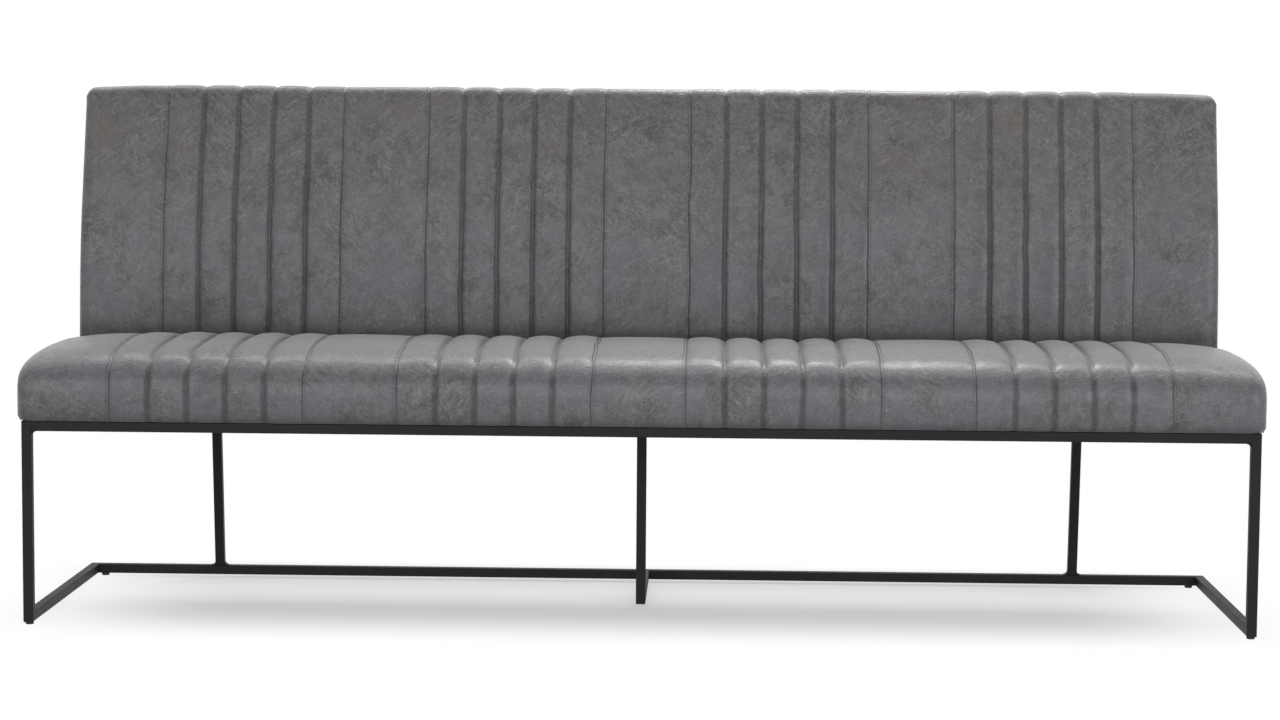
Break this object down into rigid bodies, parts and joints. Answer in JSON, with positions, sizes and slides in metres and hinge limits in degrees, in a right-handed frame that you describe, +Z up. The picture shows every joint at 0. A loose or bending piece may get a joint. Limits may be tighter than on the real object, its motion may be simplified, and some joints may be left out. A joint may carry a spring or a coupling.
{
  "type": "kitchen bench",
  "caption": "Long upholstered kitchen bench with a reclined full-width back, channel-quilted grey leather seat and back, on a slim black square-tube frame with floor runners.",
  "frame": {"origin": "on the floor, under the middle of the bench's box", "axes": "+X along the bench to the sitter's left, which is the right in the picture; +Y from the front to the rear; +Z up"},
  "size_m": [2.218, 0.671, 0.9696],
  "materials": {
    "powder_coated_steel": "black satin powder coat",
    "black_glide_plastic": "moulded black plastic",
    "grey_worn_leather": "grey leather with a worn, mottled finish and satin sheen",
    "upholstery_foam": "open-cell foam",
    "birch_plywood": "bare plywood and timber",
    "black_lining_cloth": "woven black cloth",
    "zinc_plated_screw": "zinc plated"
  },
  "bodies": {
    "root": {"back_bottom_rail": "birch_plywood", "back_cover": "grey_worn_leather", "back_foam": "upholstery_foam", "back_panel": "birch_plywood", "back_post_1": "birch_plywood", "back_post_2": "birch_plywood", "back_post_3": "birch_plywood", "back_post_4": "birch_plywood", "back_rear_panel": "grey_worn_leather", "back_screw_1": "zinc_plated_screw", "back_screw_2": "zinc_plated_screw", "back_screw_3": "zinc_plated_screw", "back_screw_4": "zinc_plated_screw", "back_top_rail": "birch_plywood", "centre_leg": "powder_coated_steel", "floor_rail_rear": "powder_coated_steel", "floor_runner_centre": "powder_coated_steel", "floor_runner_left": "powder_coated_steel", "floor_runner_right": "powder_coated_steel", "front_leg_left": "powder_coated_steel", "front_leg_right": "powder_coated_steel", "glide_front_left": "black_glide_plastic", "glide_front_right": "black_glide_plastic", "glide_rear_left": "black_glide_plastic", "glide_rear_right": "black_glide_plastic", "rear_upright_left": "powder_coated_steel", "rear_upright_right": "powder_coated_steel", "seat_board": "birch_plywood", "seat_cover": "grey_worn_leather", "seat_foam": "upholstery_foam", "seat_lining": "black_lining_cloth", "seat_rail_centre": "powder_coated_steel", "seat_rail_front": "powder_coated_steel", "seat_rail_left": "powder_coated_steel", "seat_rail_rear": "powder_coated_steel", "seat_rail_right": "powder_coated_steel", "seat_screw_front_1": "zinc_plated_screw", "seat_screw_front_2": "zinc_plated_screw", "seat_screw_front_3": "zinc_plated_screw", "seat_screw_front_4": "zinc_plated_screw", "seat_screw_rear_1": "zinc_plated_screw", "seat_screw_rear_2": "zinc_plated_screw", "seat_screw_rear_3": "zinc_plated_screw", "seat_screw_rear_4": "zinc_plated_screw"}
  },
  "joints": []
}
